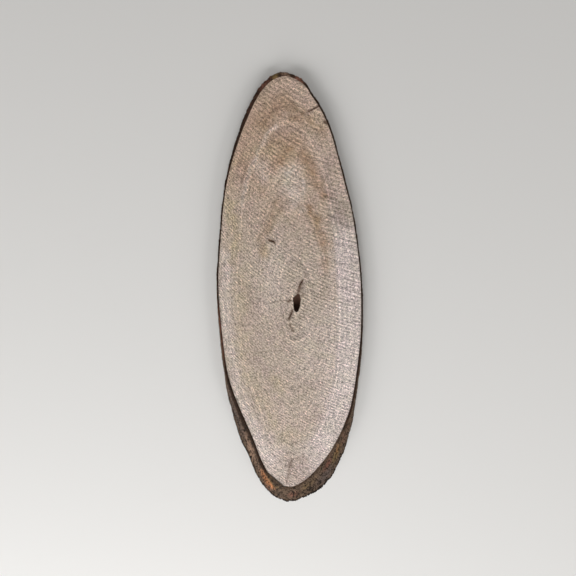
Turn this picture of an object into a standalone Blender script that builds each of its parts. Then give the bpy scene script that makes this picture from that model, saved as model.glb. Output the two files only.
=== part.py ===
"""A long oval slice of a log, sawn flat on both faces, with its bark left on.

The log leant over as it was sawn, so its round section comes out as a long oval, and
the side of the slice slopes: it shows as a band of bark at the lower end, and tucks
under at the upper end. Places on the slice are measured from the pith, the centre that
the tree grew around, where it comes out of the upper sawn face.
"""

import math

import bmesh
import bpy
import numpy as np
from mathutils import Vector, noise

# Lengths below are in millimetres, and MM turns them into metres.
MM = 0.001

# The cut. LEAN is the angle between the log's own length and the sawn faces.
THICKNESS = 6.0
LEAN = math.radians(24.7)
SQUEEZE = math.sin(LEAN)
RUN = 1 / math.tan(LEAN)

# Where the pith comes out, from the middle of the slice's box.
PITH = (6.26, -13.9)

# The edge of the bare wood on the upper face, clockwise from its upper end.
WOOD_EDGE = (
    (-11.6, 210.3),
    (0.0, 207.1),
    (8.5, 200.7),
    (13.8, 192.4),
    (23.7, 176.9),
    (33.4, 153.0),
    (45.1, 109.2),
    (52.1, 80.7),
    (58.6, 32.0),
    (60.1, -10.1),
    (58.3, -44.2),
    (51.9, -88.8),
    (45.0, -111.1),
    (34.0, -133.4),
    (23.5, -148.2),
    (9.4, -163.1),
    (-5.7, -170.5),
    (-20.8, -164.5),
    (-31.7, -147.6),
    (-41.4, -123.0),
    (-59.0, -81.3),
    (-66.1, -51.6),
    (-72.3, 8.9),
    (-71.1, 49.9),
    (-65.7, 105.5),
    (-54.5, 148.2),
    (-38.7, 186.3),
    (-25.5, 204.2),
)

# The straight side that the wood split off along, from its corner to the lower tip.
SPLIT_FROM = (-29.1, -154.0)
SPLIT_TO = (-8.6, -171.6)
SPLIT_GAP = 0.9

# The bark's thickness square to the log's length, every 30 degrees round from +Y.
BARK_THICKNESS = (1.45, 1.5, 1.3, 1.7, 1.8, 1.8, 1.1, 1.8, 1.9, 1.8, 1.5, 2.6)
HAIRLINE = 0.3

# The log swells towards its foot in two root flares: direction, half width, height.
ROOT_FLARES = ((153, 34, 3.5), (222, 29, 3.5))

# The bark's surface: plates and hollows, longer along the log than across it.
PLATE_SIZE = 5.0
PLATE_STRETCH = 2.2
PLATE_RELIEF = 0.42
SCALLOP_SIZE = 3.2
SCALLOP_RELIEF = 0.22
RELIEF_SEED = Vector((3.7, 11.2, 5.9))

# Where outer bark has flaked away: direction, how far down the side, size, depth.
FLAKES = (
    (219, 0.45, 9.0, 0.55),
    (146, 0.4, 8.0, 0.45),
    (172, 0.7, 6.0, 0.35),
)
FLAKE_SQUEEZE = 0.7
FLAKE_EDGE = 4

# The hole where the pith has rotted out, round its rim.
PITH_HOLE = (
    (1.4, 8.2),
    (3.0, 7.7),
    (3.3, 5.6),
    (4.3, 3.7),
    (3.5, -0.5),
    (3.0, -3.9),
    (1.8, -7.4),
    (0.6, -9.2),
    (-0.8, -8.7),
    (-2.1, -7.0),
    (-2.7, -3.2),
    (-3.3, 1.7),
    (-3.2, 4.6),
    (-1.2, 6.7),
)
PITH_DEPTH = 3.8
PITH_FLOOR = 0.8
PITH_DEPTH_BELOW = 1.3
PITH_FLOOR_BELOW = 0.7

# Checks in the upper face: from, to, greatest width, depth.
CHECKS = {
    "slit_above_pith": ((5.6, 20.5), (2.2, 14.7), 1.3, 2.4),
    "crack_below_pith": ((-3.3, -7.0), (-8.1, -16.8), 0.7, 1.8),
    "check_at_edge": ((20.6, 182.3), (11.0, 177.4), 1.1, 2.2),
}
CHECK_SHAPE = ((0.0, 0.3), (0.33, 1.0), (0.7, 0.6), (1.0, 0.1))
CHECK_FLOOR = 0.5

# The crescent left by a small twig.
KNOT_CENTRE = (-22.6, 55.4)
KNOT_SIZE = (5.6, 2.8)
KNOT_HOLLOW = 0.25
KNOT_DEPTH = 1.6
KNOT_FLOOR = 0.6
KNOT_POINTS = 7

# Colours of the materials, and how rough they are.
SAWN_WOOD = ((0.40, 0.31, 0.25), 0.85)
ROUGH_BARK = ((0.11, 0.075, 0.055), 0.95)

# How finely the shapes are divided.
COLUMNS = 240
BARK_ROWS = 6
CURVE_STEPS = 24
CUTTER_OVER = 1.0
SHARP_ANGLE = math.radians(40)
FULL_TURN = 2 * math.pi


def smooth_closed(points):
    """A closed curve through hand-placed points."""
    points = np.array(points, float)
    along = np.linspace(0, 1, CURVE_STEPS, endpoint=False)[:, None]
    before = np.roll(points, 1, axis=0)
    after = np.roll(points, -1, axis=0)
    further = np.roll(points, -2, axis=0)
    pieces = []
    for a, b, c, d in zip(before, points, after, further):
        straight = 2 * b + (c - a) * along
        bend = (2 * a - 5 * b + 4 * c - d) * along**2
        twist = (3 * b - a - 3 * c + d) * along**3
        pieces.append((straight + bend + twist) / 2)
    return np.vstack(pieces)


def directions():
    """Compass directions about the pith, clockwise from +Y, in the log's own section."""
    return np.arange(COLUMNS) * FULL_TURN / COLUMNS


def edge_radius(way):
    """The wood's radius in the log's own section, where the oval is nearly round."""
    edge = smooth_closed(WOOD_EDGE) * (1, SQUEEZE)
    seen = np.arctan2(edge[:, 0], edge[:, 1]) % FULL_TURN
    order = np.argsort(seen)
    radius = np.hypot(edge[:, 0], edge[:, 1])
    return np.interp(way, seen[order], radius[order], period=FULL_TURN)


def split_radius(way):
    """How far the wood reaches before the straight side that it split off along."""
    start = np.array(SPLIT_FROM) * (1, SQUEEZE)
    side = np.array(SPLIT_TO) * (1, SQUEEZE) - start
    square = np.array((side[1], -side[0])) / np.hypot(*side)
    towards = np.sin(way) * square[0] + np.cos(way) * square[1]
    meets = towards / (start @ square)
    with np.errstate(divide="ignore"):
        return np.where(meets > 0, 1 / meets, np.inf)


def swelling(way, depth):
    """How much wider the log is at this depth under the upper face."""
    total = np.zeros_like(way)
    for centre, half_width, height in ROOT_FLARES:
        off = np.degrees(way) - centre
        lobe = height * np.cos(off / half_width * math.pi / 2) ** 2
        total += np.where(np.abs(off) < half_width, lobe, 0)
    return total * depth / THICKNESS


def bark_thickness(way):
    """The bark's thickness, smoothly between the directions where it is given."""
    smooth = smooth_closed([[value] for value in BARK_THICKNESS])[:, 0]
    at = np.arange(len(smooth)) * FULL_TURN / len(smooth)
    return np.interp(way, at, smooth, period=FULL_TURN)


def flaked(angle, reach, down):
    """How deep a point of the bark lies where the outer bark has flaked off."""
    depth = 0.0
    for centre, share, size, hollow in FLAKES:
        across = (angle - math.radians(centre)) * reach
        along = down - share * THICKNESS / SQUEEZE
        away = math.hypot(across, along * FLAKE_SQUEEZE) / size
        depth += hollow * max(0.0, 1 - away**FLAKE_EDGE)
    return depth


def bark_relief(way, radius, depth):
    """How far the bark's plates stand out from its even thickness."""
    down = depth / SQUEEZE
    out = []
    for angle, reach in zip(way, radius):
        spot = Vector((math.sin(angle) * reach, math.cos(angle) * reach, down / PLATE_STRETCH))
        plates = PLATE_RELIEF * noise.noise(spot / PLATE_SIZE + RELIEF_SEED)
        scallops = SCALLOP_RELIEF * noise.noise(spot / SCALLOP_SIZE - RELIEF_SEED)
        out.append(plates + scallops - flaked(angle, reach, down))
    return np.array(out)


def place(x, y, height):
    """A point this far from the pith, slid along the log to a height, in metres."""
    slide = (height - THICKNESS) * RUN
    return Vector((PITH[0] + x, PITH[1] + y + slide, height)) * MM


def ring_of_log(way, radius, height):
    """Points round the log in these directions, at one height in the slice."""
    across = radius * np.sin(way)
    along = radius * np.cos(way) / SQUEEZE
    return [place(x, y, height) for x, y in zip(across, along)]


def loft(name, rings, collection):
    """A closed solid through rings of points, each with as many points as the next."""
    bm = bmesh.new()
    made = [[bm.verts.new(point) for point in ring] for ring in rings]
    for lower, upper in zip(made, made[1:]):
        for i in range(len(lower)):
            j = (i + 1) % len(lower)
            bm.faces.new((lower[i], lower[j], upper[j], upper[i]))
    bm.faces.new(reversed(made[0]))
    bm.faces.new(made[-1])
    bmesh.ops.recalc_face_normals(bm, faces=bm.faces)
    mesh = bpy.data.meshes.new(name)
    bm.to_mesh(mesh)
    bm.free()
    mesh.shade_smooth()
    mesh.set_sharp_from_angle(angle=SHARP_ANGLE)
    piece = bpy.data.objects.new(name, mesh)
    collection.objects.link(piece)
    return piece


def wood_rings(heights, clearance=0.0):
    """Rings of the wood at these heights, with this much room round it."""
    way = directions()
    rings = []
    for height in heights:
        depth = min(max(THICKNESS - height, 0.0), THICKNESS)
        radius = np.minimum(edge_radius(way) + swelling(way, depth), split_radius(way))
        rings.append(ring_of_log(way, radius + clearance, height))
    return rings


def slice_rings():
    """Rings of the whole slice, out to the surface of its bark."""
    way = directions()
    rings = []
    for height in np.linspace(0, THICKNESS, BARK_ROWS + 1):
        depth = THICKNESS - height
        radius = edge_radius(way) + swelling(way, depth) + bark_thickness(way)
        relief = bark_relief(way, radius, depth)
        rings.append(ring_of_log(way, radius + relief, height))
    return rings


def pit_rings(outline, depth, floor_share, from_below=False):
    """Rings of a pit that follows the log's length in from a sawn face."""
    outline = np.array(outline, float)
    middle = outline.mean(axis=0)
    face = 0.0 if from_below else THICKNESS
    outwards = -1 if from_below else 1
    rings = []
    for rise, share in ((-depth, floor_share), (CUTTER_OVER, 1.0)):
        points = (outline - middle) * share + middle
        rings.append([place(x, y, face + outwards * rise) for x, y in points])
    return rings


def check_outline(start, end, width):
    """A long thin leaf shape between two points, as CHECK_SHAPE gives it."""
    start, end = np.array(start), np.array(end)
    side = end - start
    square = np.array((-side[1], side[0])) / np.hypot(*side)
    middle = [start + side * along for along, _ in CHECK_SHAPE]
    half = [square * width / 2 * wide for _, wide in CHECK_SHAPE]
    one = [point + offset for point, offset in zip(middle, half)]
    other = [point - offset for point, offset in zip(middle, half)]
    return one + other[::-1]


def knot_outline():
    """A crescent, round above and slightly hollow below."""
    length, height = KNOT_SIZE
    turns = np.linspace(0, math.pi, KNOT_POINTS)
    top = [(-math.cos(t) * length / 2, math.sin(t) * height) for t in turns]
    under = [(math.cos(t) * length / 2, math.sin(t) * height * KNOT_HOLLOW) for t in turns[1:-1]]
    return np.array(top + under) + KNOT_CENTRE


def cut(piece, name, rings, cutters):
    """Takes the solid through these rings away from a piece."""
    tool = loft(name, rings, cutters)
    tool.hide_render = True
    tool.display_type = "WIRE"
    modifier = piece.modifiers.new(name, "BOOLEAN")
    modifier.operation = "DIFFERENCE"
    modifier.solver = "EXACT"
    modifier.object = tool


def material(name, colour, roughness):
    """A plain material with the part's own colour."""
    made = bpy.data.materials.new(name)
    made.use_nodes = True
    shader = made.node_tree.nodes["Principled BSDF"]
    shader.inputs["Base Color"].default_value = (*colour, 1)
    shader.inputs["Roughness"].default_value = roughness
    shader.inputs["Metallic"].default_value = 0
    made.diffuse_color = (*colour, 1)
    return made


def make_wood(parts, cutters):
    """The sawn wood, with the pith hole, the checks and the twig's scar in it."""
    wood = loft("wood", wood_rings((0, THICKNESS)), parts)
    wood.data.materials.append(material("sawn_wood", *SAWN_WOOD))
    cut(wood, "pith_hole", pit_rings(PITH_HOLE, PITH_DEPTH, PITH_FLOOR), cutters)
    below = pit_rings(PITH_HOLE, PITH_DEPTH_BELOW, PITH_FLOOR_BELOW, from_below=True)
    cut(wood, "pith_hole_below", below, cutters)
    cut(wood, "knot", pit_rings(knot_outline(), KNOT_DEPTH, KNOT_FLOOR), cutters)
    for name, (start, end, width, depth) in CHECKS.items():
        outline = check_outline(start, end, width)
        cut(wood, name, pit_rings(outline, depth, CHECK_FLOOR), cutters)


def make_bark(parts, cutters):
    """The bark all round: the whole slice, less the wood and a little room round it."""
    bark = loft("bark", slice_rings(), parts)
    bark.data.materials.append(material("bark", *ROUGH_BARK))
    way = directions()
    by_the_split = split_radius(way) < edge_radius(way)
    room = np.where(by_the_split, SPLIT_GAP, HAIRLINE)
    heights = (-CUTTER_OVER, 0, THICKNESS, THICKNESS + CUTTER_OVER)
    cut(bark, "room_for_wood", wood_rings(heights, room), cutters)


def main():
    for left_over in list(bpy.data.objects):
        bpy.data.objects.remove(left_over, do_unlink=True)
    parts = bpy.data.collections.new("wood_slice")
    cutters = bpy.data.collections.new("cutters")
    for collection in (parts, cutters):
        bpy.context.scene.collection.children.link(collection)
    make_wood(parts, cutters)
    make_bark(parts, cutters)


main()
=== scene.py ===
"""The looks of a long oval wood slice: its sawn wood, its bark and a pale floor.

The log leant over as it was sawn. A place in the slice is given by a direction round the
pith, clockwise from +Y, a reach square to the log's own length, and a height. In the
log's own section the slice is nearly round, and the sawn faces stretch it along Y.
"""

import math

import bmesh
import bpy
import numpy as np
from bpy.props import FloatProperty, FloatVectorProperty, IntProperty, PointerProperty
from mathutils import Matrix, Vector, noise
from mathutils.bvhtree import BVHTree


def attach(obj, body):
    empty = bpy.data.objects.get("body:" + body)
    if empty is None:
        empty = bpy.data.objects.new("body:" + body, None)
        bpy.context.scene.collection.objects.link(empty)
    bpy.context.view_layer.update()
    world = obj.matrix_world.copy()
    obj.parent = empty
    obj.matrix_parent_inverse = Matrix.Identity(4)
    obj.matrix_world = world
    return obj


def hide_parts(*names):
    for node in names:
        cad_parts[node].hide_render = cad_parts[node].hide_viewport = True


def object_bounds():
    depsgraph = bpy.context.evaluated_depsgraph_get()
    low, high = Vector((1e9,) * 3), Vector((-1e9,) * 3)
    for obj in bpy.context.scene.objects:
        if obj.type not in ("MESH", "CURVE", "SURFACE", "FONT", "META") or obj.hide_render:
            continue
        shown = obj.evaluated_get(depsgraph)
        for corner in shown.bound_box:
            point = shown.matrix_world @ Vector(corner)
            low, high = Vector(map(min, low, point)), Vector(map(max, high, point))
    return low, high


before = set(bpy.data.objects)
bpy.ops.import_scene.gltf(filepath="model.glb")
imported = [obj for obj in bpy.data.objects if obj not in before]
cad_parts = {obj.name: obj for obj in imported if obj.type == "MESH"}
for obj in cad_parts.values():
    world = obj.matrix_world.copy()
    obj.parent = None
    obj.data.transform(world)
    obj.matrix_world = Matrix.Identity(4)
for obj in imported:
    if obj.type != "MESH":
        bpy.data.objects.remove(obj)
CAD_BOX = [list(corner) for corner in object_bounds()]

bl_info = {
    "name": "Wood Slice",
    "version": (1, 0, 0),
    "blender": (4, 5, 0),
    "location": "3D View > Sidebar > Wood Slice",
    "description": "Models a long oval slice of a log with its bark left on",
    "category": "Add Mesh",
}

# Places and sizes below are in millimetres. The properties further down are in metres.
MM = 0.001
FULL_TURN = 2 * math.pi

# The cut, as in the solids: how the log leant, and where its pith comes out on top.
THICKNESS = CAD_BOX[1][2] / MM
LEAN = math.radians(24.7)
SQUEEZE = math.sin(LEAN)
RUN = 1 / math.tan(LEAN)
PITH = (6.26, -13.9)
UP_THE_LOG = np.array((0, RUN, 1))

# Bold growth rings, as shares of the way to the bark: left, right, up and down.
BOLD_RINGS = (
    (0.210, 0.295, 0.198, 0.209),
    (0.420, 0.434, 0.348, 0.395),
    (0.530, 0.543, 0.573, 0.588),
    (0.740, 0.650, 0.780, 0.830),
    (1.0, 1.0, 1.0, 1.0),
)

# Where the sawn faces have hollows, from the pith: middle, half width, half length.
HOLLOWS_ABOVE = {
    "pith_hole": (0.4, -0.4, 6.0, 12.0),
    "slit": (3.9, 17.6, 4.0, 5.0),
    "crack": (-5.7, -11.9, 4.5, 7.0),
    "check": (14.5, 179.2, 7.5, 5.0),
    "knot": (-22.6, 57.0, 5.5, 4.5),
}
HOLLOWS_BELOW = {"pith_hole": (0.4, -0.4, 6.0, 12.0)}

# Tints of the upper face, from the pith: from, to, width, strength.
TINTS = {
    "pale": (
        (-8, 118, -4, 100, 11, 0.9),
        (6, 114, 6, 84, 3.5, 0.7),
        (-20, 164, -32, 149, 2.2, 0.6),
        (-32, 149, -43, 123, 2.2, 0.6),
        (-43, 123, -50, 91, 2.2, 0.6),
        (-34, 126, -30, 118, 7, 0.4),
        (45, 61, 50, -26, 10, 0.7),
        (50, -26, 45, -81, 11, 0.8),
        (45, -81, 27, -128, 8, 0.6),
        (-66, 44, -65, -26, 5, 0.6),
        (-63, -26, -54, -86, 6, 0.7),
        (-54, -86, -38, -123, 6, 0.7),
        (-38, -123, -23, -148, 7, 0.9),
        (-23, -148, -11, -163, 4, 0.5),
        (-22, 44, -22, 2, 10, 0.3),
        (8, -35, 20, -26, 8, 0.3),
        (34, -10, 28, -90, 14, 0.45),
        (14, -25, 10, -60, 12, 0.3),
    ),
    "dusk": (
        (31, 128, 31, 100, 5, 0.8),
        (-43, 91, -36, 69, 8, 0.4),
        (-1, 58, 7, 52, 9, 0.4),
        (26, 16, 24, 4, 6, 0.5),
        (-45, 12, -38, -54, 8, 0.55),
        (-36, -54, -27, -86, 6, 0.4),
        (-8, -16, -13, -40, 7, 0.4),
        (0, -44, 3, -48, 6, 0.3),
        (3, -114, 20, -105, 8, 0.45),
        (8, -81, 20, -77, 8, 0.4),
        (-6, -145, 6, -147, 5, 0.9),
        (-4, -152, 4, -162, 12, 0.9),
        (-11, -164, -8, -167, 5, 0.8),
        (-28, 196, -22, 201, 6, 0.4),
        (40, 86, 42, 78, 6, 0.5),
        (-52, 105, -56, 123, 6, 0.5),
    ),
    "olive": (
        (14, 170, 22, 165, 9, 0.6),
        (-63, 91, -56, 63, 5.5, 0.8),
        (-56, 63, -58, 38, 4.5, 0.8),
        (-12, 111, -8, 107, 12, 0.35),
        (-36, 142, -25, 142, 7, 0.5),
        (-10, 143, -6, 141, 7, 0.6),
        (-52, 26, -50, -63, 8, 0.45),
        (-50, -63, -32, -95, 8, 0.5),
        (-20, -73, -14, -77, 7, 0.5),
        (-29, -95, -23, -114, 7, 0.4),
        (-11, -124, -5, -126, 8, 0.4),
        (-29, 51, -29, 47, 4, 0.8),
        (18, 76, 20, 73, 3, 0.7),
    ),
    "brown": (
        (-32, 168, -12, 187, 9, 0.8),
        (-12, 187, 3, 172, 9, 0.8),
        (6, 173, 24, 158, 7, 0.6),
        (-25, 149, -4, 151, 8, 0.45),
        (-8, 144, -17, 128, 6.5, 0.9),
        (7, 137, 16, 119, 5, 0.9),
        (16, 119, 27, 98, 5, 0.8),
        (9, 91, 18, 75, 6, 0.9),
        (18, 75, 26, 54, 5, 0.8),
        (26, 54, 27, 30, 5, 0.6),
        (-13, 95, -23, 81, 6, 0.5),
        (-23, 81, -32, 60, 5.5, 0.6),
        (-32, 60, -32, 44, 4.5, 0.5),
        (-52, 128, -47, 114, 6, 0.35),
        (-39, 114, -32, 100, 5, 0.3),
    ),
}

# Narrow dark marks, from the pith: from, to, width, strength.
MARKS = (
    (5.6, 20.5, 2.4, 14.0, 1.1, 1.0),
    (4.4, 18.0, 1.6, 8.5, 2.2, 0.75),
    (3.0, 13.0, 1.2, 9.0, 1.2, 0.9),
    (7.9, 27.0, 8.6, 23.5, 0.8, 0.4),
    (-4.0, -7.5, -7.0, -15.5, 1.3, 0.9),
    (-6.0, -20.0, -5.2, -23.5, 1.0, 0.75),
    (-4.4, -23.5, -3.2, -27.0, 1.0, 0.75),
    (3.2, -13.0, 3.3, -15.5, 1.0, 0.55),
    (-7.8, 1.0, -6.0, 1.6, 1.5, 0.85),
    (-26.0, -0.5, -8.0, 2.3, 0.6, 0.4),
    (-11.0, -126.0, -9.0, -124.0, 0.7, 0.2),
    (-4.6, -146.0, -9.0, -166.0, 1.3, 0.5),
    (3.5, 5.0, 6.5, 7.5, 1.8, 0.5),
    (9.5, 5.0, 10.5, 6.5, 1.0, 0.3),
    (-9.4, 123.0, -8.6, 123.2, 0.9, 0.8),
    (20.6, 182.3, 11.0, 177.4, 0.9, 1.0),
    (11.0, 177.4, 4.0, 174.5, 0.8, 0.5),
    (26.5, 168.0, 28.5, 166.5, 1.8, 0.9),
    (-25.2, 57.8, -22.2, 56.8, 1.5, 1.0),
    (-22.2, 56.8, -20.2, 55.4, 1.2, 0.9),
)

# Strokes of the blade that scored deeper, painted darker as the shade in their grooves: the arc's
# height at the pith, from, to, width, strength.
SCORES = (
    (151, -4, 16, 0.4, 0.14),
    (136.7, -16, 10, 0.6, 0.40),
    (126, 12, 38, 0.4, 0.14),
    (119.6, -21, -9, 0.5, 0.24),
    (112, -42, -24, 0.4, 0.14),
    (101.3, -46, -13, 0.6, 0.45),
    (101.0, 28, 57, 0.6, 0.42),
    (95, 38, 56, 0.4, 0.28),
    (91, 34, 58, 0.4, 0.30),
    (84.6, 32, 45, 0.8, 0.55),
    (83.0, -10, 8, 0.5, 0.28),
    (82.0, 14, 34, 0.4, 0.18),
    (81.0, 44, 62, 0.8, 0.60),
    (75, 42, 60, 0.4, 0.26),
    (68, 44, 62, 0.4, 0.28),
    (61.8, 40, 64, 0.6, 0.42),
    (51, 44, 64, 0.4, 0.28),
    (44, 36, 64, 0.45, 0.34),
    (39, 40, 65, 0.4, 0.30),
    (31, 44, 65, 0.4, 0.28),
    (22.9, 42, 67, 0.6, 0.50),
    (9, 46, 67, 0.4, 0.16),
    (-6, 44, 67, 0.4, 0.14),
    (-31, 42, 65, 0.4, 0.16),
    (-66, 36, 62, 0.4, 0.14),
    (-78, 30, 56, 0.4, 0.16),
)

# Where narrow rings crowd along the split side, from the pith.
CROWDED_RINGS = ((-37, -130, -27, -146, 6, 0.8), (-27, -146, -12, -162, 7, 1.0))

# How the bark's section is divided: its outer side, sawn rim, inner side and underside.
SECTION_STEPS = (0, 24, 32, 40, 48)
SECTION_HEIGHTS = (0, 1, 1, 0, 0)
SECTION_DEPTHS = (0, 0, 1, 1, 0)

# Patches of the bark: direction, how far down its side, half width, half height, strength.
PATCHES = {
    "cut": (
        (235, 0, 34, 3.6, 1.4),
        (212, 0, 14, 2.2, 1.4),
        (128, 0, 20, 2.5, 0.6),
    ),
    "slate": (
        (157, 9, 12, 5, 0.9),
        (235, 8, 26, 5, 0.8),
        (192, 10, 5, 3, 0.5),
    ),
    "tan": (
        (217, 8, 10, 5, 1.0),
        (210, 6, 5, 4, 0.8),
        (180, 4, 8, 3, 0.4),
        (353.7, 0, 4, 3, 0.9),
    ),
    "olive": (
        (146.6, 6, 6, 4, 0.9),
        (198, 2, 8, 2, 0.7),
        (172, 5, 10, 5, 0.5),
        (347, 0, 4, 3, 0.8),
    ),
    "red": (
        (155, 3, 5, 3, 0.9),
        (182, 7, 7, 4, 0.7),
        (201, 11, 6, 2.5, 0.6),
        (138, 5, 12, 6, 0.4),
        (341, 0, 9, 3, 0.6),
        (330, 0, 9, 3, 0.3),
        (1.5, 0, 5, 3, 0.9),
        (261, 0, 14, 3, 0.7),
    ),
    "orange": (
        (204, 6, 5, 4, 1.2),
        (199, 5, 4, 3, 1.0),
        (146, 5, 3, 3, 0.5),
    ),
}


def smooth(share):
    """An ease in and out between 0 and 1."""
    share = np.clip(share, 0, 1)
    return share * share * (3 - 2 * share)


def points_of(piece):
    """The places of a piece's vertices, in millimetres."""
    flat = np.empty(len(piece.data.vertices) * 3)
    piece.data.vertices.foreach_get("co", flat)
    return flat.reshape(-1, 3) / MM


def move_points(piece, points):
    """Puts a piece's vertices at these places, given in millimetres."""
    piece.data.vertices.foreach_set("co", (points * MM).ravel())
    piece.data.update()


def paint(piece, name, values):
    """Stores a value for each vertex, which the piece's material reads by its name."""
    layer = piece.data.attributes.new(name, "FLOAT", "POINT")
    layer.data.foreach_set("value", np.asarray(values, np.float32))


def select_only(*pieces):
    """Leaves just these pieces selected, the first of them active."""
    bpy.ops.object.select_all(action="DESELECT")
    for piece in pieces:
        piece.select_set(True)
        bpy.context.view_layer.objects.active = pieces[0]


def grain(points, size, seed=0.0):
    """Smooth noise between about -1 and 1, with lumps of about this size."""
    offset = Vector((seed, seed * 1.7, seed * 0.6))
    return np.array([noise.noise(Vector(point) / size + offset) for point in points])


def in_log(points):
    """The direction, and the reach in the log's own section, of places in the slice."""
    x = points[:, 0] - PITH[0]
    y = points[:, 1] - PITH[1] - (points[:, 2] - THICKNESS) * RUN
    return np.arctan2(x, y * SQUEEZE) % FULL_TURN, np.hypot(x, y * SQUEEZE)


def in_slice(way, reach, height):
    """Places in the slice from direction, reach and height."""
    x = PITH[0] + reach * np.sin(way)
    y = PITH[1] + reach * np.cos(way) / SQUEEZE + (height - THICKNESS) * RUN
    return np.stack([x, y, np.broadcast_to(height, np.shape(x))], axis=-1)


def tree_of(node):
    """A node's surface, for finding where rays meet it."""
    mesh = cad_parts[node].data
    corners = [vertex.co for vertex in mesh.vertices]
    return BVHTree.FromPolygons(corners, [face.vertices for face in mesh.polygons])


def reach_met(tree, ways, height, outwards=False):
    """The reach at which level rays meet a surface, from outside or from the pith."""
    far = 150.0
    outside = in_slice(ways, np.full(len(ways), far), height)
    pith = in_slice(ways, np.zeros(len(ways)), height)
    found = []
    for here, there in zip(outside, pith):
        start, end = (there, here) if outwards else (here, there)
        start, end = Vector(start) * MM, Vector(end) * MM
        distance = tree.ray_cast(start, (end - start).normalized())[3]
        share = distance / (end - start).length
        found.append(far * (share if outwards else 1 - share))
    return np.array(found)


class Side:
    """A side of a solid: its reach at every direction and height, read by rays."""

    ways = np.arange(480) * FULL_TURN / 480

    def __init__(self, tree, heights, outwards=False):
        self.heights = heights
        self.rows = np.array([reach_met(tree, self.ways, h, outwards) for h in heights])

    def round_log(self, row, way):
        """A row's reach between the directions where it is known, smoothly."""
        place = way % FULL_TURN / FULL_TURN * len(row)
        first = np.floor(place).astype(int)
        along = place - first
        a, b, c, d = (row[(first + shift) % len(row)] for shift in (-1, 0, 1, 2))
        straight = 2 * b + (c - a) * along
        bend = (2 * a - 5 * b + 4 * c - d) * along**2
        twist = (3 * b - a - 3 * c + d) * along**3
        return (straight + bend + twist) / 2

    def reach(self, way, height):
        """The reach at these directions and heights, along straight lines past the rows."""
        rows = np.array([self.round_log(row, way) for row in self.rows])
        steps = np.arange(len(self.heights))
        lower = np.interp(height, self.heights, steps).astype(int)
        lower = np.minimum(np.broadcast_to(lower, way.shape), len(steps) - 2)
        low, high = self.heights[lower], self.heights[lower + 1]
        share = (height - low) / (high - low)
        column = np.arange(len(way))
        return rows[lower, column] * (1 - share) + rows[lower + 1, column] * share


def saw_place(x, y, radius, middle):
    """Which stroke of the blade cut a place, as the height of its arc at the pith."""
    return y + np.sqrt(radius**2 - (x - middle) ** 2) - math.sqrt(radius**2 - middle**2)


def growth_of(way, share):
    """How many bold rings lie between the pith and each place."""
    side = np.where(np.sin(way) < 0, 0, 1)
    end = np.where(np.cos(way) > 0, 2, 3)
    sideways = np.sin(way) ** 2
    growth = np.zeros(len(way))
    inner = np.zeros(len(way))
    for ring in BOLD_RINGS:
        ring = np.array(ring)
        outer = ring[side] * sideways + ring[end] * (1 - sideways)
        growth += np.clip((share - inner) / (outer - inner), 0, 1)
        inner = outer
    return growth


def spots(points, table):
    """The strength at each place of the soft round spots in a table."""
    total = np.zeros(len(points))
    for x, y, half_width, half_length, strength in table:
        across = (points[:, 0] - PITH[0] - x) / half_width
        along = (points[:, 1] - PITH[1] - y) / half_length
        total = np.maximum(total, strength * np.exp(-(across**2) - along**2))
    return total


def strokes(points, table):
    """The strength at each place of the narrow marks in a table."""
    total = np.zeros(len(points))
    here = points[:, :2] - np.array(PITH)
    for x, y, to_x, to_y, width, strength in table:
        start, run = np.array((x, y)), np.array((to_x - x, to_y - y))
        share = np.clip((here - start) @ run / (run @ run), 0, 1)
        off = here - start - share[:, None] * run
        total = np.maximum(total, strength * np.exp(-(off**2).sum(axis=1) / width**2))
    return total


class Finish:
    """A Principled material, built up from procedural nodes."""

    def __init__(self, name):
        self.material = bpy.data.materials.new(name)
        self.material.use_nodes = True
        self.tree = self.material.node_tree
        self.shader = self.tree.nodes["Principled BSDF"]

    def add(self, kind, inputs, output=0, **settings):
        """Adds a node with these settings, and returns one of its outputs."""
        node = self.tree.nodes.new("ShaderNode" + kind)
        for name, value in settings.items():
            setattr(node, name, value)
        for name, value in inputs.items():
            self.put(node.inputs[name], value)
        return node.outputs[output]

    def put(self, socket, value):
        """Gives a socket a value, or a link to another node's output."""
        if isinstance(value, bpy.types.NodeSocket):
            self.tree.links.new(value, socket)
        else:
            socket.default_value = value

    def maths(self, operation, *values):
        return self.add("Math", dict(enumerate(values)), operation=operation)

    def painted(self, name):
        """A value stored on the piece by paint()."""
        return self.add("Attribute", {}, output="Fac", attribute_name=name)

    def lumps(self, vector, size, detail=2.0, roughness=0.5, stretch=(1, 1, 1)):
        """Noise around 0, with lumps of this size in metres, longer where stretched."""
        scale = tuple(1 / (size * along) for along in stretch)
        placed = self.add("Mapping", {"Vector": vector, "Scale": scale})
        inputs = {"Vector": placed, "Scale": 1.0, "Detail": detail, "Roughness": roughness}
        return self.maths("SUBTRACT", self.add("TexNoise", inputs), 0.5)

    def fade(self, value, start, end, low=0.0, high=1.0):
        """Goes smoothly from low to high as a value goes from start to end."""
        inputs = {"Value": value, "From Min": start, "From Max": end}
        inputs.update({"To Min": low, "To Max": high})
        return self.add("MapRange", inputs, interpolation_type="SMOOTHSTEP")

    def mix(self, share, under, over, blend="MIX"):
        """One colour over another, where share says so."""
        node = self.tree.nodes.new("ShaderNodeMix")
        node.data_type = "RGBA"
        node.blend_type = blend
        self.put(node.inputs[0], share)
        for socket, colour in zip((node.inputs[6], node.inputs[7]), (under, over)):
            self.put(socket, colour if isinstance(colour, bpy.types.NodeSocket) else (*colour, 1))
        return node.outputs[2]

    def brighten(self, colour, amount):
        """A colour times one plus an amount."""
        scale = self.maths("ADD", amount, 1.0)
        grey = self.add("CombineColor", {"Red": scale, "Green": scale, "Blue": scale})
        return self.mix(1.0, colour, grey, blend="MULTIPLY")

    def bump(self, height, distance, strength=1.0):
        inputs = {"Height": height, "Distance": distance, "Strength": strength}
        self.put(self.shader.inputs["Normal"], self.add("Bump", inputs))


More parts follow.
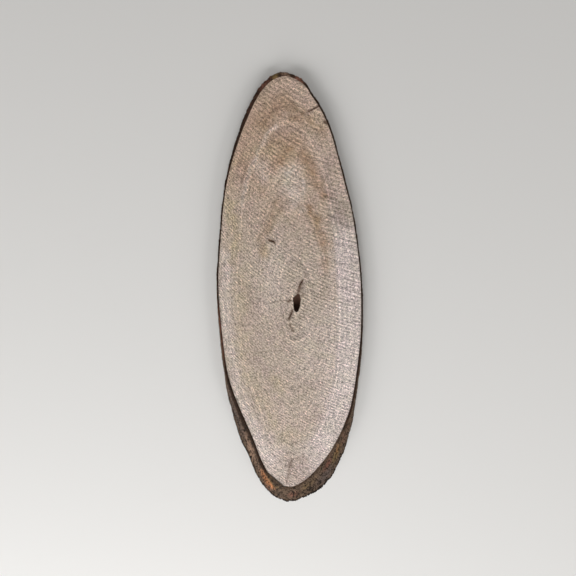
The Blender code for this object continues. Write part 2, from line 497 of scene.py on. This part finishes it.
class SawnWood(bpy.types.PropertyGroup):
    """Sizes and colours of the sawn wood."""

    cells_across: IntProperty(
        name="Cells across", description="Faces across the upper face", default=144, min=8
    )
    cells_along: IntProperty(
        name="Cells along", description="Faces along the upper face", default=424, min=8
    )
    blade_radius: FloatProperty(
        name="Blade radius", description="Radius of the saw marks", default=0.245, unit="LENGTH"
    )
    blade_middle: FloatProperty(
        name="Blade middle",
        description="How far to the right the blade's middle passed",
        default=0.126,
        unit="LENGTH",
    )
    mark_depth: FloatProperty(
        name="Mark depth",
        description="Depth of the saw marks",
        default=0.00005,
        precision=5,
        unit="LENGTH",
    )
    fuzz_depth: FloatProperty(
        name="Fuzz depth",
        description="Roughness of the torn fibres",
        default=0.00004,
        precision=5,
        unit="LENGTH",
    )
    fibre_size: FloatProperty(
        name="Fibre size",
        description="Size of the torn fibres",
        default=0.00050,
        precision=5,
        unit="LENGTH",
    )
    # The speckle's strength stands partly for the torn fibres' painted shadows and highlights.
    speckle: FloatProperty(
        name="Speckle", description="Strength of the torn fibres' speckle", default=1.45
    )
    fresh: FloatVectorProperty(
        name="Sapwood",
        description="Pinkish-white wood near the bark",
        default=(0.60, 0.51, 0.48),
        subtype="COLOR",
    )
    heart: FloatVectorProperty(
        name="Heartwood",
        description="Wood round the pith",
        default=(0.51, 0.42, 0.355),
        subtype="COLOR",
    )
    aged: FloatVectorProperty(
        name="Aged wood",
        description="Browner wood at the upper end",
        default=(0.50, 0.36, 0.27),
        subtype="COLOR",
    )
    pale: FloatVectorProperty(
        name="Pale places",
        description="Whitish places",
        default=(0.69, 0.605, 0.57),
        subtype="COLOR",
    )
    dusk: FloatVectorProperty(
        name="Grey places",
        description="Duller places",
        default=(0.40, 0.31, 0.265),
        subtype="COLOR",
    )
    olive: FloatVectorProperty(
        name="Yellow places",
        description="Yellowish places",
        default=(0.50, 0.405, 0.27),
        subtype="COLOR",
    )
    brown: FloatVectorProperty(
        name="Stains",
        description="Warm brown stains",
        default=(0.36, 0.23, 0.145),
        subtype="COLOR",
    )
    mark: FloatVectorProperty(
        name="Marks",
        description="Narrow dark marks",
        default=(0.10, 0.05, 0.03),
        subtype="COLOR",
    )
    rot: FloatVectorProperty(
        name="Rotted pith",
        description="Inside of the hole and checks",
        default=(0.055, 0.026, 0.015),
        subtype="COLOR",
    )


class Bark(bpy.types.PropertyGroup):
    """Sizes and colours of the bark."""

    columns: IntProperty(
        name="Column cuts", description="Cuts in each of the 256 columns round it", default=7, min=1
    )
    plate_depth: FloatProperty(
        name="Plate depth",
        description="Relief of the bark's plates",
        default=0.00035,
        precision=5,
        unit="LENGTH",
    )
    scale_depth: FloatProperty(
        name="Scale depth",
        description="Relief of the small scales",
        default=0.00022,
        precision=5,
        unit="LENGTH",
    )
    weathered: FloatVectorProperty(
        name="Outer bark",
        description="Weathered brown",
        default=(0.115, 0.075, 0.050),
        subtype="COLOR",
    )
    # The colour of the painted shade in the crevices, specks, foot and split gap.
    crevice_shade: FloatVectorProperty(
        name="Crevices",
        description="Dark between the scales",
        default=(0.012, 0.007, 0.004),
        subtype="COLOR",
    )
    sawn: FloatVectorProperty(
        name="Sawn bark",
        description="Dark cut bark",
        default=(0.034, 0.017, 0.010),
        subtype="COLOR",
    )
    slate: FloatVectorProperty(
        name="Grey bark",
        description="Weathered grey places",
        default=(0.092, 0.066, 0.055),
        subtype="COLOR",
    )
    tan: FloatVectorProperty(
        name="Tan bark",
        description="Paler scaled places",
        default=(0.23, 0.145, 0.10),
        subtype="COLOR",
    )
    olive: FloatVectorProperty(
        name="Olive bark",
        description="Yellowish places",
        default=(0.19, 0.125, 0.052),
        subtype="COLOR",
    )
    red: FloatVectorProperty(
        name="Red bark",
        description="Reddish-brown places",
        default=(0.165, 0.070, 0.048),
        subtype="COLOR",
    )
    orange: FloatVectorProperty(
        name="Inner bark",
        description="Orange where outer bark flaked off",
        default=(0.38, 0.16, 0.07),
        subtype="COLOR",
    )


class Stage(bpy.types.PropertyGroup):
    """The floor, the light and the camera."""

    floor: FloatVectorProperty(
        name="Floor", description="Plain pale floor", default=(0.81, 0.80, 0.785), subtype="COLOR"
    )
    camera_height: FloatProperty(
        name="Camera height", description="Straight above the floor", default=0.7494, unit="LENGTH"
    )
    key_power: FloatProperty(
        name="Front light", description="Soft light from below the picture, in watts", default=10.0
    )
    left_power: FloatProperty(
        name="Left light", description="Soft light from the left, in watts", default=34.0
    )
    right_power: FloatProperty(
        name="Right light", description="Soft light from the right, in watts", default=22.0
    )
    sky_low: FloatProperty(
        name="Low sky", description="Even light from near the horizon", default=0.65
    )
    sky_high: FloatProperty(name="High sky", description="Even light from above", default=0.26)


def oval_grid(name, cells, side, height):
    """A level grid from the pith out to a side, at one height."""
    bpy.ops.mesh.primitive_grid_add(x_subdivisions=cells[0], y_subdivisions=cells[1], size=2)
    piece = bpy.context.object
    piece.name = name
    u, v, _ = points_of(piece).T * MM
    across = u * np.sqrt(1 - v**2 / 2)
    along = v * np.sqrt(1 - u**2 / 2)
    way = np.arctan2(across, along)
    reach = np.hypot(across, along) * side.reach(way, height)
    move_points(piece, in_slice(way, reach, height))
    return piece


def divide_near(piece, hollows, cuts):
    """Divides a grid's faces more finely round its hollows."""
    select_only(piece)
    bpy.ops.object.mode_set(mode="EDIT")
    bpy.ops.mesh.select_mode(type="FACE")
    bpy.ops.mesh.select_all(action="DESELECT")
    mesh = bmesh.from_edit_mesh(piece.data)
    middles = np.array([face.calc_center_median() for face in mesh.faces]) / MM
    middles[:, 1] -= (middles[:, 2] - THICKNESS) * RUN
    boxes = [(x, y, width, length, 1.0) for x, y, width, length in hollows.values()]
    near = spots(middles, boxes) > math.exp(-1)
    for face, chosen in zip(mesh.faces, near):
        face.select_set(bool(chosen))
    bmesh.update_edit_mesh(piece.data)
    bpy.ops.mesh.subdivide(number_cuts=cuts, ngon=False)
    bpy.ops.object.mode_set(mode="OBJECT")


def sink_hollows(piece, tree, up):
    """Sinks a grid into its solid's hollows along the log, and returns how deep."""
    points = points_of(piece)
    way, reach = in_log(points)
    height = points[:, 2]
    frayed = in_slice(way, np.maximum(reach - 0.2, 0), height)
    frayed[:, 0] += 0.35 * grain(points, 1.3, seed=4)
    frayed[:, 1] += 0.6 * grain(points, 1.6, seed=9)
    towards = Vector(-up * UP_THE_LOG)
    depth = np.zeros(len(points))
    for i, start in enumerate(frayed):
        hit = tree.ray_cast((Vector(start) - towards) * MM, towards.normalized())[0]
        if hit is not None:
            depth[i] = max(0.0, up * (start[2] - hit.z / MM))
    depth *= 1 + 0.25 * grain(points, 1.1, seed=2)
    move_points(piece, points - up * depth[:, None] * UP_THE_LOG)
    return depth


def rough_sawn(piece, settings, up):
    """Lowers a sawn face by its saw marks and torn fibres."""
    points = points_of(piece)
    x, y, _ = points.T
    radius, middle = settings.blade_radius / MM, settings.blade_middle / MM
    stroke = saw_place(x, y, radius, middle)
    turns = 0.377 * (stroke + 100) - 0.000325 * (stroke + 100) ** 2
    turns += 0.35 * grain(points, 22)
    marks = 0.5 + 0.5 * np.cos(FULL_TURN * turns)
    fuzz = 0.5 + grain(points, 1.9, seed=5) * 0.5
    depth = settings.mark_depth / MM * marks + settings.fuzz_depth / MM * fuzz
    points[:, 2] -= up * depth
    move_points(piece, points)


def close_sides(top, bottom):
    """Joins two faces into one solid with a straight side between their edges."""
    select_only(top, bottom)
    bpy.ops.object.join()
    bpy.ops.object.mode_set(mode="EDIT")
    bpy.ops.mesh.select_mode(type="EDGE")
    bpy.ops.mesh.select_all(action="DESELECT")
    bpy.ops.mesh.select_non_manifold(extend=False, use_wire=False, use_multi_face=False,
                                     use_non_contiguous=False, use_verts=False)
    bpy.ops.mesh.bridge_edge_loops(number_cuts=3, interpolation="LINEAR")
    bpy.ops.mesh.select_all(action="SELECT")
    bpy.ops.mesh.normals_make_consistent(inside=False)
    bpy.ops.object.mode_set(mode="OBJECT")


def wood_finish(settings):
    """Pale rough-sawn wood: growth rings, saw marks, stains and dark hollows."""
    f = Finish("sawn_wood_finish")
    place = f.add("TexCoord", {}, output="Object")
    split = f.tree.nodes.new("ShaderNodeSeparateXYZ")
    f.put(split.inputs[0], place)
    x, y, z = split.outputs
    growth = f.painted("growth")

    # Browner wood at the upper end, pale sapwood outside the last bold ring.
    drift = f.lumps(place, 0.05)
    old = f.fade(f.maths("ADD", y, f.maths("MULTIPLY", drift, 0.08)), 0.02, 0.14)
    colour = f.mix(old, settings.heart, settings.aged)
    colour = f.mix(f.painted("sapwood"), colour, settings.fresh)
    patchy = f.fade(f.lumps(place, 0.0055, detail=3.0, roughness=0.6), -0.22, 0.22, 0.45, 1.0)
    for name, tint in (
        ("pale", settings.pale),
        ("dusk", settings.dusk),
        ("olive", settings.olive),
        ("brown", settings.brown),
    ):
        colour = f.mix(f.maths("MULTIPLY", f.painted(name), patchy), colour, tint)

    # Blotches that lean to pink or to yellow.
    hue = f.fade(f.lumps(place, 0.010, detail=3.0, roughness=0.6), -0.25, 0.25)
    pinker, yellower = (1.02, 0.99, 1.02), (0.99, 1.01, 0.96)
    colour = f.mix(1.0, colour, f.mix(hue, pinker, yellower), blend="MULTIPLY")

    # Growth rings: bands of uneven width, thin pale lines, and a dark line at each bold ring.
    wander = f.maths("MULTIPLY", f.lumps(place, 0.03, stretch=(1, 2.4, 1)), 0.09)
    ring_place = f.maths("ADD", growth, wander)
    bands = f.add("TexNoise", {"W": ring_place, "Scale": 6.0, "Detail": 3.0}, noise_dimensions="1D")
    bands = f.maths("SUBTRACT", bands, 0.5)
    colour = f.brighten(colour, f.maths("MULTIPLY", bands, 0.45))
    uneven = f.maths("ADD", f.maths("MULTIPLY", ring_place, 17.0), f.maths("MULTIPLY", bands, 9.0))
    clear = f.fade(f.lumps(place, 0.03, detail=1.0), -0.15, 0.15, 0.25, 1.0)
    thin = f.fade(f.maths("COSINE", uneven), 0.2, 1.0, 0.0, 0.12)
    beside = f.maths("SUBTRACT", f.maths("FRACT", f.maths("ADD", ring_place, 0.5)), 0.5)
    dark_line = f.maths("ABSOLUTE", f.maths("ADD", beside, 0.02))
    pale_line = f.maths("ABSOLUTE", f.maths("SUBTRACT", beside, 0.08))
    dark_line = f.fade(dark_line, 0.0, 0.07, -0.14, 0.0)
    pale_line = f.fade(pale_line, 0.0, 0.06, 0.17, 0.0)
    lines = f.maths("ADD", thin, f.maths("ADD", dark_line, pale_line))
    colour = f.brighten(colour, f.maths("MULTIPLY", lines, clear))
    crowd = f.maths("COSINE", f.maths("MULTIPLY", ring_place, 85.0))
    crowd = f.maths("MULTIPLY", f.maths("MULTIPLY", crowd, f.painted("crowded")), 0.16)
    colour = f.brighten(colour, crowd)

    # Saw marks: arcs of the blade, further apart where the log was fed in faster. Their darkening is
    # partly the marks' own colour and partly the painted shade of their grooves, most where the blade
    # scored deeper.
    off = f.maths("SUBTRACT", x, settings.blade_middle)
    square = f.maths("SUBTRACT", settings.blade_radius**2, f.maths("MULTIPLY", off, off))
    level = math.sqrt(settings.blade_radius**2 - settings.blade_middle**2)
    stroke = f.maths("ADD", y, f.maths("SUBTRACT", f.maths("SQRT", square), level))
    fed = f.maths("ADD", stroke, 0.1)
    turns = f.maths("MULTIPLY", fed, f.maths("SUBTRACT", 377.0, f.maths("MULTIPLY", fed, 325.0)))
    turns = f.maths("ADD", turns, f.maths("MULTIPLY", f.lumps(place, 0.022), 0.7))
    marks = f.maths("COSINE", f.maths("MULTIPLY", turns, FULL_TURN))
    strength = f.fade(f.lumps(place, 0.018), -0.25, 0.25, 0.06, 0.24)
    marks = f.maths("MULTIPLY", marks, strength)
    along_cut = f.add("CombineXYZ", {"X": x, "Y": stroke, "Z": z})
    scores = f.lumps(along_cut, 0.0011, detail=2.0, roughness=0.6, stretch=(12, 1, 1))
    scores = f.fade(scores, -0.32, -0.10, 0.40, 0.0)
    scored = f.fade(f.lumps(place, 0.02, detail=1.0), -0.1, 0.2, 0.15, 0.6)
    marks = f.maths("ADD", marks, f.maths("MULTIPLY", scores, scored))
    shaken = f.maths("ADD", stroke, f.maths("MULTIPLY", f.lumps(along_cut, 0.007), 0.0012))
    for arc, start, end, width, strength in SCORES:
        off = f.maths("ABSOLUTE", f.maths("SUBTRACT", shaken, arc * MM))
        line = f.fade(off, 0.0, width * MM * 1.6, strength, 0.0)
        start, end = start * MM, end * MM
        line = f.maths("MULTIPLY", line, f.fade(x, start, start + 0.004))
        line = f.maths("MULTIPLY", line, f.fade(x, end - 0.004, end, 1.0, 0.0))
        marks = f.maths("ADD", marks, line)
    duller = f.maths("MULTIPLY", f.fade(shaken, 0.0808, 0.0832), f.fade(shaken, 0.086, 0.125, 1.0, 0.0))
    duller = f.maths("MULTIPLY", duller, f.fade(x, 0.030, 0.042, 0.0, 0.16))
    colour = f.brighten(colour, f.maths("MULTIPLY", f.maths("ADD", marks, duller), -1.0))

    # Torn fibres: a fine even speckle, drawn out along the saw marks; partly the fibres' own colour,
    # partly their painted shadows and highlights.
    scale = tuple(1 / (settings.fibre_size * along) for along in (1.5, 1, 1))
    fibres = f.add("Mapping", {"Vector": along_cut, "Scale": scale})
    fibres = f.add("TexVoronoi", {"Vector": fibres, "Scale": 1.0}, output=1)
    fibres = f.maths("SUBTRACT", f.add("SeparateColor", {"Color": fibres}), 0.5)
    coarse = f.lumps(place, 0.0024, detail=2.0, roughness=0.6)
    speckle = f.maths("MULTIPLY", fibres, settings.speckle)
    colour = f.brighten(colour, f.maths("ADD", speckle, f.maths("MULTIPLY", coarse, 0.12)))

    colour = f.mix(f.painted("marked"), colour, settings.mark)
    deep = f.fade(f.painted("depth"), 0.02, 0.3)
    colour = f.mix(deep, colour, settings.rot)
    f.put(f.shader.inputs["Base Color"], colour)
    f.shader.inputs["Roughness"].default_value = 0.85
    f.shader.inputs["Specular IOR Level"].default_value = 0.25
    height = f.maths("SUBTRACT", f.maths("MULTIPLY", fibres, 0.3), marks)
    f.bump(height, 0.00025, strength=0.5)
    return f.material


def bark_finish(settings):
    """Rough dry bark: weathered outside, with painted shade in its crevices, at its foot and in the gap
    at the split, reddish where sawn.
    """
    f = Finish("bark_finish")
    place = f.add("TexCoord", {}, output="Object")
    patchy = f.lumps(place, 0.006, detail=3.0, roughness=0.6)
    speckle = f.lumps(place, 0.0011, detail=2.0, roughness=0.7)
    colour = f.mix(f.painted("sawn"), settings.weathered, settings.sawn)
    for name, tint in (
        ("cut", settings.sawn),
        ("slate", settings.slate),
        ("tan", settings.tan),
        ("olive", settings.olive),
        ("red", settings.red),
        ("orange", settings.orange),
    ):
        share = f.maths("ADD", f.painted(name), f.maths("MULTIPLY", patchy, 0.7))
        colour = f.mix(f.fade(share, 0.1, 1.0), colour, tint)
    colour = f.brighten(colour, f.maths("MULTIPLY", patchy, 1.2))
    # Painted shade: near black in the crevices, along the foot and in the gap at the split.
    painted_shade = f.maths("ADD", f.painted("painted_shade"), f.maths("MULTIPLY", speckle, 2.0))
    colour = f.mix(f.fade(painted_shade, 0.25, 0.75), colour, settings.crevice_shade)
    # Specks of painted shade in the hollows between the scales.
    specks = f.add("Mapping", {"Vector": place, "Scale": (1 / 0.0019,) * 3})
    specks = f.add("TexVoronoi", {"Vector": specks, "Scale": 1.0})
    specks = f.maths("ADD", specks, f.maths("MULTIPLY", patchy, 0.5))
    colour = f.mix(f.fade(specks, 0.22, 0.40, 0.85, 0.0), colour, settings.crevice_shade)
    colour = f.brighten(colour, f.maths("MULTIPLY", speckle, 2.2))
    f.put(f.shader.inputs["Base Color"], colour)
    f.shader.inputs["Roughness"].default_value = 0.92
    f.shader.inputs["Specular IOR Level"].default_value = 0.2
    f.bump(f.maths("ADD", speckle, patchy), 0.0006, strength=0.8)
    return f.material


def patches(way, reach, down, table):
    """The strength at each place of the bark's patches in a table."""
    total = np.zeros(len(way))
    for direction, level, half_width, half_height, strength in table:
        turn = (way - math.radians(direction) + math.pi) % FULL_TURN - math.pi
        off = (turn * reach / half_width) ** 2 + ((down - level) / half_height) ** 2
        total = np.maximum(total, strength * np.exp(-off))
    return total


def bark_ring(settings, outer, inner):
    """The bark as a ring with a rough outer side, a sawn rim and a plain inner side."""
    bpy.ops.mesh.primitive_torus_add(
        major_segments=256, minor_segments=SECTION_STEPS[-1], major_radius=1, minor_radius=0.25
    )
    piece = bpy.context.object
    piece.name = "rough_bark"
    bpy.ops.object.mode_set(mode="EDIT")
    bpy.ops.mesh.select_mode(type="EDGE")
    bpy.ops.mesh.select_all(action="DESELECT")
    mesh = bmesh.from_edit_mesh(piece.data)
    for edge in mesh.edges:
        one, other = edge.verts
        same_step = abs(one.co.z - other.co.z) < 1e-5
        same_reach = abs(one.co.xy.length - other.co.xy.length) < 1e-4
        edge.select_set(same_step and same_reach)
    bmesh.update_edit_mesh(piece.data)
    bpy.ops.mesh.subdivide(number_cuts=settings.columns)
    bpy.ops.object.mode_set(mode="OBJECT")

    x, y, z = points_of(piece).T * MM
    turn = np.arctan2(y, x) % FULL_TURN
    way = turn + 0.15 * np.sin(turn)
    steps = SECTION_STEPS[-1]
    step = np.round(np.arctan2(z, np.hypot(x, y) - 1) / FULL_TURN * steps) % steps
    height = THICKNESS * np.interp(step, SECTION_STEPS, SECTION_HEIGHTS)
    inwards = np.interp(step, SECTION_STEPS, SECTION_DEPTHS)
    far, near = outer.reach(way, height), inner.reach(way, height)

    down = (THICKNESS - height) / SQUEEZE
    along = in_slice(way, far, height)[..., 1] * math.cos(LEAN) + height * SQUEEZE
    skin = np.stack([np.sin(way) * far, np.cos(way) * far, along / 1.3], axis=-1)
    cracks = np.clip(1 - np.abs(grain(skin, 3.0, seed=1)) / 0.16, 0, 1)
    scales = grain(skin, 1.2, seed=7)
    rough = settings.scale_depth / MM * scales - settings.plate_depth / MM * cracks
    reach = far + (near - far) * inwards + rough * (1 - inwards) ** 2
    move_points(piece, in_slice(way, reach, height))
    bpy.ops.object.mode_set(mode="EDIT")
    bpy.ops.mesh.select_all(action="SELECT")
    bpy.ops.mesh.normals_make_consistent(inside=False)
    bpy.ops.object.mode_set(mode="OBJECT")

    # Painted shade: the bark darkens at its foot where it meets the floor, in its crevices, and on its
    # inner side in the gap at the split.
    painted_foot_shadow = smooth((down / down.max() - 0.85) / 0.15) * (inwards < 1)
    painted_shade = np.clip(0.9 * cracks - 0.5 * scales, 0, 1) * (1 - inwards) + painted_foot_shadow
    painted_gap_shade = np.abs((way - np.radians(203) + np.pi) % FULL_TURN - np.pi) < np.radians(14)
    paint(piece, "painted_shade", painted_shade + 1.5 * painted_gap_shade * (inwards == 1))
    below = smooth((np.radians(45) - np.abs(way - np.radians(175))) / np.radians(15))
    on_rim = (step >= 24) & (step <= 32)
    paint(piece, "sawn", on_rim * (1 - 0.85 * below))
    for name, table in PATCHES.items():
        paint(piece, name, patches(way, far, down, table))
    return piece


class WOODSLICE_OT_saw_wood(bpy.types.Operator):
    """Models the sawn wood over its solid, with its hole, checks and saw marks"""

    bl_idname = "wood_slice.saw_wood"
    bl_label = "Sawn Wood"
    bl_options = {"REGISTER", "UNDO"}

    def execute(self, context):
        settings = context.scene.sawn_wood
        tree = tree_of("wood")
        side = Side(tree, np.array((0.02, THICKNESS / 2)))
        cells = (settings.cells_across, settings.cells_along)
        top = oval_grid("sawn_wood", cells, side, THICKNESS)
        divide_near(top, HOLLOWS_ABOVE, cuts=3)
        paint(top, "depth", sink_hollows(top, tree, up=1))
        rough_sawn(top, settings, up=1)
        bottom = oval_grid("underside", [count // 2 for count in cells], side, 0.0)
        divide_near(bottom, HOLLOWS_BELOW, cuts=3)
        paint(bottom, "depth", sink_hollows(bottom, tree, up=-1))
        rough_sawn(bottom, settings, up=-1)
        close_sides(top, bottom)
        points = points_of(top)
        way, reach = in_log(points)
        share = reach / side.reach(way, np.clip(points[:, 2], 0, THICKNESS))
        growth = growth_of(way, share)
        paint(top, "growth", growth)
        x, y = points[:, 0] - PITH[0], points[:, 1] - PITH[1]
        beyond = smooth((growth - 3.6) / 0.6) * smooth((x + 60) / 90)
        paint(top, "sapwood", beyond * (0.35 + 0.65 * smooth((90 - y) / 50)))
        upper = points[:, 2] > THICKNESS / 2
        level = np.zeros(len(points))
        wander = np.stack([grain(points, 7, seed=3), grain(points, 8, seed=8), level], axis=-1)
        for name, table in TINTS.items():
            paint(top, name, strokes(points + 3.5 * wander, table) * upper)
        paint(top, "marked", strokes(points + 0.3 * wander, MARKS) * upper)
        paint(top, "crowded", strokes(points, CROWDED_RINGS) * upper)
        bpy.ops.object.shade_smooth_by_angle(angle=math.radians(50))
        top.data.materials.append(wood_finish(settings))
        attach(top, "root")
        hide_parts("wood")
        return {"FINISHED"}


class WOODSLICE_OT_grow_bark(bpy.types.Operator):
    """Models the bark over its solid, with its plates, scales and flaked places"""

    bl_idname = "wood_slice.grow_bark"
    bl_label = "Bark"
    bl_options = {"REGISTER", "UNDO"}

    def execute(self, context):
        settings = context.scene.bark
        tree = tree_of("bark")
        heights = np.linspace(0.02, THICKNESS - 0.02, 7)
        outer = Side(tree, heights)
        inner = Side(tree, heights, outwards=True)
        piece = bark_ring(settings, outer, inner)
        bpy.ops.object.shade_smooth_by_angle(angle=math.radians(60))
        piece.data.materials.append(bark_finish(settings))
        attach(piece, "root")
        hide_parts("bark")
        return {"FINISHED"}


class WOODSLICE_OT_set_stage(bpy.types.Operator):
    """Adds a plain pale floor, three soft lights, an even sky and a camera above"""

    bl_idname = "wood_slice.set_stage"
    bl_label = "Stage"
    bl_options = {"REGISTER", "UNDO"}

    def execute(self, context):
        settings = context.scene.stage
        bpy.ops.mesh.primitive_plane_add(size=6, location=(0, 0, -0.00005))
        floor = context.object
        floor.name = "floor"
        finish = Finish("pale_floor")
        finish.shader.inputs["Base Color"].default_value = (*settings.floor, 1)
        finish.shader.inputs["Roughness"].default_value = 0.7
        floor.data.materials.append(finish.material)

        for name, place, size, power in (
            ("key", (-0.25, -1.1, 0.45), 0.7, settings.key_power),
            ("left", (-2.2, -1.0, 0.75), 1.1, settings.left_power),
            ("right", (2.0, -1.0, 0.75), 1.1, settings.right_power),
        ):
            bpy.ops.object.light_add(type="AREA", location=place)
            light = context.object
            light.name = name
            light.data.shape = "DISK"
            light.data.size = size
            light.data.energy = power
            light.rotation_euler = (-light.location).to_track_quat("-Z", "Y").to_euler()

        world = bpy.data.worlds.new("soft_sky")
        world.use_nodes = True
        nodes, links = world.node_tree.nodes, world.node_tree.links
        sky = nodes["Background"]
        sky.inputs["Color"].default_value = (1.0, 0.985, 0.955, 1)
        way_out = nodes.new("ShaderNodeTexCoord").outputs["Generated"]
        split = nodes.new("ShaderNodeSeparateXYZ")
        fall = nodes.new("ShaderNodeMapRange")
        fall.inputs["From Max"].default_value = 0.5
        fall.inputs["To Min"].default_value = settings.sky_low
        fall.inputs["To Max"].default_value = settings.sky_high
        links.new(way_out, split.inputs[0])
        links.new(split.outputs["Z"], fall.inputs["Value"])
        links.new(fall.outputs[0], sky.inputs["Strength"])
        context.scene.world = world
        context.scene.view_settings.view_transform = "Standard"

        above = (PITH[0] - 7.9, PITH[1] + 13.47)
        location = (above[0] * MM, above[1] * MM, settings.camera_height)
        bpy.ops.object.camera_add(location=location, rotation=(0, 0, 0))
        camera = context.object
        camera.data.lens = 50
        camera.data.sensor_width = 36
        context.scene.camera = camera
        return {"FINISHED"}


class WOODSLICE_PT_panel(bpy.types.Panel):
    """Lists the slice's pieces and their settings"""

    bl_label = "Wood Slice"
    bl_idname = "WOODSLICE_PT_panel"
    bl_space_type = "VIEW_3D"
    bl_region_type = "UI"
    bl_category = "Wood Slice"

    def draw(self, context):
        for operator, group in PIECES:
            box = self.layout.box()
            box.operator(operator.bl_idname)
            settings = getattr(context.scene, group)
            for name in settings.__annotations__:
                box.prop(settings, name)


PIECES = (
    (WOODSLICE_OT_saw_wood, "sawn_wood"),
    (WOODSLICE_OT_grow_bark, "bark"),
    (WOODSLICE_OT_set_stage, "stage"),
)
GROUPS = {"sawn_wood": SawnWood, "bark": Bark, "stage": Stage}


def register():
    for group in GROUPS.values():
        bpy.utils.register_class(group)
    for name, group in GROUPS.items():
        setattr(bpy.types.Scene, name, PointerProperty(type=group))
    for operator, _ in PIECES:
        bpy.utils.register_class(operator)
    bpy.utils.register_class(WOODSLICE_PT_panel)


def unregister():
    bpy.utils.unregister_class(WOODSLICE_PT_panel)
    for operator, _ in PIECES:
        bpy.utils.unregister_class(operator)
    for name, group in GROUPS.items():
        delattr(bpy.types.Scene, name)
        bpy.utils.unregister_class(group)


def main():
    register()
    bpy.ops.wood_slice.saw_wood()
    bpy.ops.wood_slice.grow_bark()
    bpy.ops.wood_slice.set_stage()


if __name__ == "__main__":
    main()
